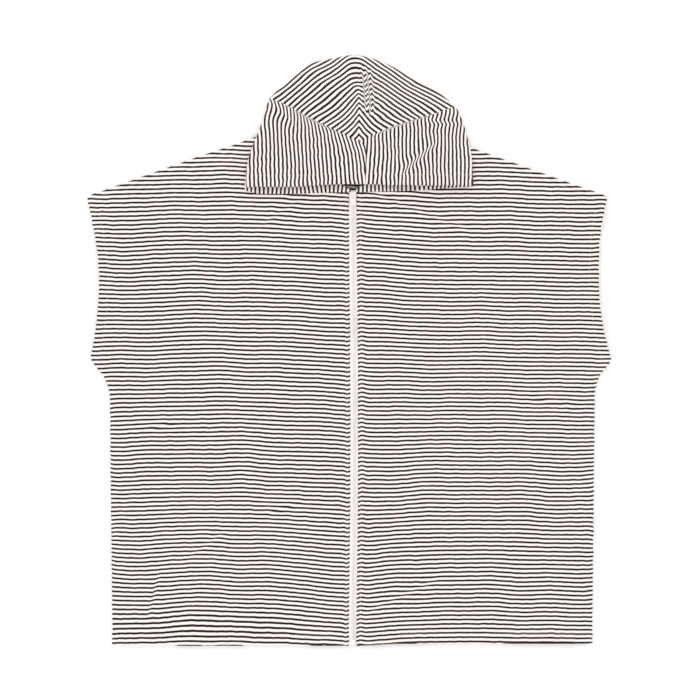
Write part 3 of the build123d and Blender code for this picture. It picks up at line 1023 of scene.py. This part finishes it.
def all_stitching():
    """The lines along the zip, the hems, the armholes and the brim."""
    made = []
    step = 2.0
    side_x = side_path[0][0]
    for hand, label in HANDS:
        ys = np.arange(hem_y + 2, throat_y - 2, step)
        line = on_front(zip_x + zip_waver(ys) + hand * (placket + ZIP_HEM), ys)
        made.append(stitches(f"zip_topstitch_{label}", [line], f"zip_stitch_{label}"))
        xs = np.arange(abs(zip_x) + 12, side_x - 3, step) * hand
        line = on_front(xs, np.full(xs.shape, hem_y + HEM_WIDTH))
        made.append(stitches(f"hem_topstitch_{label}", [line], f"hem_stitch_front_{label}"))
        xs, ys = np.array([(hand * (x - ARMHOLE_HEM), y) for x, y in arm_path[3:-3]]).T
        lines = [on_front(xs, ys), np.stack([xs, ys, back_height(xs, ys) + 1.0], -1)]
        made.append(stitches(f"armhole_topstitch_{label}", lines, f"armhole_stitch_{label}"))
        xs = hood_x + hand * np.arange(1.5, (hood_right - hood_left) / 2 - 3, step)
        ys = brim_line(xs) + HEM_WIDTH
        sx, sy = slump(xs, ys)
        line = np.stack([sx, sy, crown_height(xs, ys) + crown_thickness(xs, ys) / 2 + ON_CLOTH], -1)
        made.append(stitches(f"brim_topstitch_{label}", [line], f"hood_brim_stitch_{label}", hand))
    xs = np.arange(-side_x + 4, side_x - 4, step)
    ys = np.full(xs.shape, hem_y + HEM_WIDTH)
    line = np.stack([xs, ys, back_height(xs, ys) + body_thickness(xs, ys, False) / 2 + ON_CLOTH], -1)
    made.append(stitches("hem_topstitch_back", [line], "hem_stitch_back"))
    return made


# --- Making it ---

fronts = {hand: front(hand) for hand in (-1, 1)}
back_piece = back()
allowances = seams()
crowns = {hand: crown(hand) for hand in (-1, 1)}
cheeks = {hand: cheek(hand) for hand in (-1, 1)}
seam_inside = hood_allowance()
tapes = {hand: tape(hand) for hand in (-1, 1)}
for hand in (-1, 1):
    coil(hand)
threads = all_stitching()

# The zip's hard parts keep their CAD shape
for node, finish in (
    ("zip_top_stop_left", plastic_finish),
    ("zip_top_stop_right", plastic_finish),
    ("zip_insertion_pin", plastic_finish),
    ("zip_retainer_box", plastic_finish),
    ("zip_slider", enamel_finish),
    ("zip_pull_tab", enamel_finish),
):
    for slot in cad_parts[node].material_slots:
        slot.material = finish

front_parts = ["side_allowance", "shoulder_allowance", "neck_allowance"]
front_parts += ["zip_topstitch", "hem_topstitch", "armhole_topstitch"]

# --- Floor, light and camera ---

floor_mesh = bpy.data.meshes.new("floor")
REACH, BELOW = 4.0, -0.0004  # the floor's half width, and how far it lies under the towel
corners = [(-REACH, -REACH, BELOW), (REACH, -REACH, BELOW), (REACH, REACH, BELOW), (-REACH, REACH, BELOW)]
floor_mesh.from_pydata(corners, [], [(0, 1, 2, 3)])
floor = bpy.data.objects.new("floor", floor_mesh)
bpy.context.scene.collection.objects.link(floor)
paper, tree = start_finish("matt_white_paper")
end_finish(tree, {"Base Color": linear("#fdfdfd"), "Roughness": 0.9, "Specular IOR Level": 0.1})
floor_mesh.materials.append(paper)

sky = bpy.data.worlds.new("soft_room")
sky.use_nodes = True
room_light = sky.node_tree.nodes["Background"]
room_light.inputs["Color"].default_value = (1, 1, 1, 1)
room_light.inputs["Strength"].default_value = 1.16
bpy.context.scene.world = sky


def softbox(name, place, size, power):
    """A square lamp that faces the towel's middle."""
    data = bpy.data.lights.new(name, "AREA")
    data.size, data.energy = size, power
    lamp = bpy.data.objects.new(name, data)
    lamp.location = place
    lamp.rotation_euler = (-Vector(place)).to_track_quat("-Z", "Y").to_euler()
    bpy.context.scene.collection.objects.link(lamp)


softbox("key", (-1.6, 1.4, 2.2), 1.6, 8)
softbox("fill", (1.8, -1.2, 2.0), 2.0, 3.5)

FRAME_WIDTH = 0.84  # what the camera takes in at the towel
LENS, SENSOR = 85, 36
LOOKS_DOWN_AT = (0.0012, -0.0006)
camera_data = bpy.data.cameras.new("camera")
camera_data.lens, camera_data.sensor_width = LENS, SENSOR
camera = bpy.data.objects.new("camera", camera_data)
camera.location = (*LOOKS_DOWN_AT, FRAME_WIDTH * LENS / SENSOR + front_high[2] * MM)
bpy.context.scene.collection.objects.link(camera)
bpy.context.scene.camera = camera
bpy.context.scene.view_settings.view_transform = "Standard"
